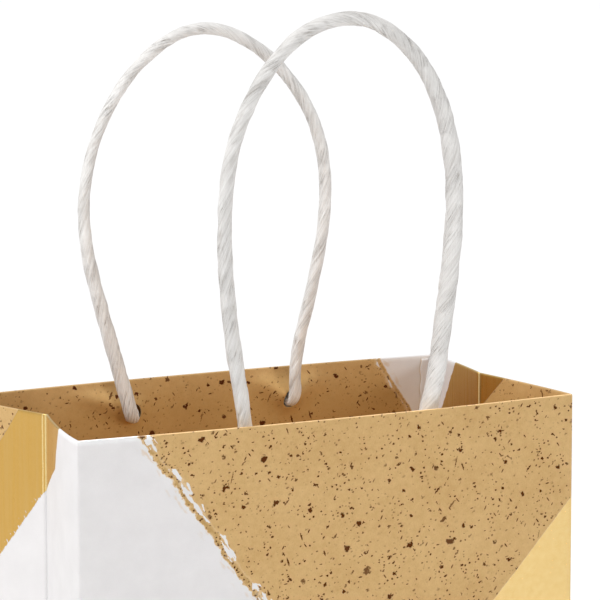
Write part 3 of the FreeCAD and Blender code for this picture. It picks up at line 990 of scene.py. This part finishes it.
def pushed_points(side, across, z, inset):
    """Points on a wall's layer that is moved inwards by what it covers."""
    points = wall_points(side, across, z, inset)
    points[..., 1] -= side * pocket(side, points[..., 0], points[..., 2])
    return points


def wall_hem(side):
    a, v = np.meshgrid(hem_columns(), hem_rows())
    a, v, skip = open_holes(a, v, hem_v(HOLE_DROP), HOLE_RADIUS)
    wall_sheet(WALL_NAME[side] + "_turned_in_hem", WALL_NAME[side] + "_hem", side, a, v, skip, pushed_points)


def gusset_hem(side, half):
    length = HALF_DEPTH - half * CREASE_Y[side]
    name = "%s_turned_in_hem_%s_half" % (SIDE_NAME[side], HALF_NAME[half])
    node = "%s_hem_%s" % (SIDE_NAME[side], HALF_NAME[half])
    gusset_sheet(name, node, side, half, steps(CORNER_RADIUS, length, 2 * MM) / length, hem_rows())


def card(side):
    """The reinforcement card between the outer paper and the hem, with its own punched holes."""
    columns = hem_columns()
    columns = columns[(columns > 3 * MM) & (columns < 2 * HALF_WIDTH - 3 * MM)]
    a, drop = np.meshgrid(columns, hole_rows())
    a, drop, skip = open_holes(a, drop, HOLE_DROP, HOLE_RADIUS + CARD_HOLE_EXTRA)
    points = pushed_points(side, a, RIM - drop, CARD_INSET)
    flat = np.stack([a, drop], axis=-1)
    if side == BACK:
        points, flat, skip = points[:, ::-1], flat[:, ::-1], skip[:, ::-1]
    name = WALL_NAME[side] + "_card"
    mesh = grid_mesh(name, points[::-1], flat[::-1], skip[::-1])
    drop_loose(mesh)
    mesh.materials.append(BOARD)
    piece = link(name, mesh)
    solid = piece.modifiers.new("thickness", "SOLIDIFY")
    solid.thickness = CARD
    solid.offset = -1
    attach(piece, "bag")
    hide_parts(WALL_NAME[side] + "_reinforcement_card")


def border(rows):
    """What lies round the edge of a grid, in order."""
    right = [row[-1] for row in rows[1:]]
    left = [row[0] for row in rows[-2:0:-1]]
    return rows[0] + right + rows[-1][-2::-1] + left


def cord_ends(side):
    """The two flattened ends of a handle's cord, glued behind the card."""
    width, above, below = CORD_END
    half = width / 2 - END_SIDE_GAP
    name = WALL_NAME[side] + "_cord_ends"
    work = bmesh.new()
    for hole in HOLE_X:
        drops = steps(HOLE_DROP - above + END_TIP_GAP, HOLE_DROP + below - END_TIP_GAP, 1.5 * MM)
        x, drop = np.meshgrid(steps(hole - half, hole + half, 0.55 * MM), drops)
        pleat = np.abs(np.sin((x - hole) * 1500 + drop * 60))
        inset = CAD_PAPER + CORD_END_THICKNESS * (1 - 0.25 * pleat)
        inner = wall_points(side, x + HALF_WIDTH, RIM - drop, inset)
        outer = wall_points(side, x + HALF_WIDTH, RIM - drop, CAD_PAPER - 0.01 * MM)
        layers = [[[work.verts.new(place) for place in row] for row in layer] for layer in (inner, outer)]
        for layer in layers:
            for row, following in zip(layer, layer[1:]):
                for j in range(len(row) - 1):
                    work.faces.new((row[j], row[j + 1], following[j + 1], following[j]))
        near, far = border(layers[0]), border(layers[1])
        for k in range(len(near)):
            n = (k + 1) % len(near)
            work.faces.new((near[k], near[n], far[n], far[k]))
    bmesh.ops.recalc_face_normals(work, faces=work.faces)
    mesh = bpy.data.meshes.new(name)
    work.to_mesh(mesh)
    work.free()
    places = np.array([v.co for v in mesh.vertices]) / MM
    set_attribute(mesh, "unwound", "FLOAT_VECTOR", places)
    set_attribute(mesh, "fold", "FLOAT", np.zeros(len(places)))
    mesh.materials.append(TWIST)
    piece = link(name, mesh)
    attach(piece, "bag")
    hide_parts(WALL_NAME[side] + "_handle_anchors")


for wall in (FRONT, BACK):
    wall_hem(wall)
    card(wall)
    cord_ends(wall)
for gusset_side in (LEFT, RIGHT):
    for gusset_half in (FRONT, BACK):
        gusset_hem(gusset_side, gusset_half)


# ---- the seam and the base ----

SEAM_TAB_X = 89.6 * MM       # where the tab's cut edge is
SEAM_TAB_DROP = 1.2 * MM     # how far below the rim it starts
SEAM_TAB_FRAY = 0.25 * MM
SEAM_TAB_LEAN = 0.02         # how far the edge leans outwards for its length


def glue_flap():
    """The strip beyond the right gusset that is glued inside the back wall."""
    low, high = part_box("side_glue_flap")
    across = steps(low.x + HALF_WIDTH, high.x + HALF_WIDTH, 2 * MM)
    a, z = np.meshgrid(across, steps(low.z, high.z, 3 * MM))
    points = wall_points(BACK, a, z, PAPER + 0.05 * MM)[:, ::-1]
    flat = np.stack([wall_flat(BACK, a), z], axis=-1)[:, ::-1]
    paper_piece("side_seam_flap", grid_mesh("side_seam_flap", points, flat), "side_glue_flap")


def seam_tab():
    """The top of the same strip, turned in with the hem: it lies on the back hem beside the corner."""
    start = HALF_WIDTH + SEAM_TAB_X
    across = steps(start, 2 * HALF_WIDTH - HEM_FACE - 1 * MM, 1 * MM)
    a, drop = np.meshgrid(across, steps(SEAM_TAB_DROP, HEM_DEPTH - 1 * MM, 1 * MM))
    cut_edge = a <= start
    fray = SEAM_TAB_FRAY * np.sin(drop * 900) * cut_edge
    lean = SEAM_TAB_LEAN * drop * cut_edge
    points = wall_points(BACK, a + fray - lean, RIM - drop, HEM_FACE + PAPER + 0.1 * MM)[:, ::-1]
    flat = np.stack([wall_flat(BACK, a), hem_v(drop)], axis=-1)[:, ::-1]
    paper_piece("side_seam_tab", grid_mesh("side_seam_tab", points, flat))


def bottom_flap(name, corners, bottom, u, v, *nodes):
    """A flat flap of the base, printed underneath. corners run round it as seen from above."""
    mesh = bpy.data.meshes.new(name)
    work = bmesh.new()
    verts = [work.verts.new((x, y, bottom)) for x, y in corners]
    work.faces.new(verts[::-1])
    bmesh.ops.subdivide_edges(work, edges=work.edges, cuts=5, use_grid_fill=True)
    work.to_mesh(mesh)
    work.free()
    uv = mesh.uv_layers.new(name="flat")
    for loop in mesh.loops:
        x, y, _ = mesh.vertices[loop.vertex_index].co
        uv.data[loop.index].uv = (u(x, y), v(x, y))
    paper_piece(name, mesh, *nodes)


def base_flaps():
    for side in (FRONT, BACK):
        node = WALL_NAME[side] + "_bottom_flap"
        low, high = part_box(node)
        outer = HALF_DEPTH - LIP
        inner = min(abs(low.y), abs(high.y))
        half = high.x - LIP / 2
        reach = outer + inner
        corners = [(-half, side * outer), (half, side * outer), (half - reach, -side * inner),
                   (reach - half, -side * inner)]
        if side == BACK:
            corners.reverse()
        bottom_flap(WALL_NAME[side] + "_base_flap", corners, low.z,
                    lambda x, y: wall_flat(side, x + HALF_WIDTH),
                    lambda x, y: side * y - HALF_DEPTH, node)
    for side in (LEFT, RIGHT):
        node = SIDE_NAME[side] + "_bottom_flap"
        low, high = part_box(node)
        corners = [(low.x, low.y), (high.x, low.y), (high.x, high.y), (low.x, high.y)]
        start = LEFT_START if side == LEFT else RIGHT_START
        bottom_flap(SIDE_NAME[side] + "_base_flap", corners, low.z,
                    lambda x, y: start + GUSSET_WIDTH / 2 + side * y,
                    lambda x, y: side * x - HALF_WIDTH, node)


glue_flap()
seam_tab()
base_flaps()

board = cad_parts["base_board"]
board.data.materials.clear()
board.data.materials.append(BOARD)


# ---- floor and light ----

FLOOR_WIDTH = 24
SURROUND = 0.48              # the strength of the even light from all round


def floor():
    mesh = bpy.data.meshes.new("floor")
    half = FLOOR_WIDTH / 2
    corners = [(-half, -half, 0), (half, -half, 0), (half, half, 0), (-half, half, 0)]
    mesh.from_pydata(corners, [], [(0, 1, 2, 3)])
    material, g = new_material("studio_floor")
    g.surface((0.96, 0.96, 0.96, 1), 0.8, 0.5)
    mesh.materials.append(material)
    ground = link("floor", mesh)
    ground.location.z = -0.05 * MM


def sun(name, azimuth, elevation, strength, spread, only=None):
    """A distant lamp. only is the collection of pieces that it lights, or none for everything."""
    data = bpy.data.lights.new(name, "SUN")
    data.energy = strength
    data.angle = math.radians(spread)
    lamp = bpy.data.objects.new(name, data)
    direction = toward(math.radians(azimuth), math.radians(elevation))
    lamp.rotation_euler = direction.to_track_quat("Z", "Y").to_euler()
    bpy.context.scene.collection.objects.link(lamp)
    if only:
        lamp.light_linking.receiver_collection = only


def group_of(*pieces):
    """A collection of pieces, for a lamp that lights only them."""
    group = bpy.data.collections.new("lit_" + pieces[0])
    for piece in pieces:
        group.objects.link(bpy.data.objects[piece])
    return group


floor()
sun("key", azimuth=-88, elevation=56, strength=2.25, spread=30)
sun("fill", azimuth=24, elevation=14, strength=0.56, spread=12)
# These two light single pieces, which no real lamp does. The first warms the inside as in the photo.
sun("behind", azimuth=180, elevation=52, strength=6.0, spread=30,
    only=group_of("front_wall", "front_turned_in_hem"))
sun("back_handle_fill", azimuth=-35, elevation=20, strength=0.6, spread=60, only=group_of("back_handle"))
world = bpy.data.worlds.new("studio")
world.use_nodes = True
world.node_tree.nodes["Background"].inputs["Color"].default_value = (1, 1, 1, 1)
world.node_tree.nodes["Background"].inputs["Strength"].default_value = SURROUND
bpy.context.scene.world = world
bpy.context.scene.view_settings.view_transform = "Standard"
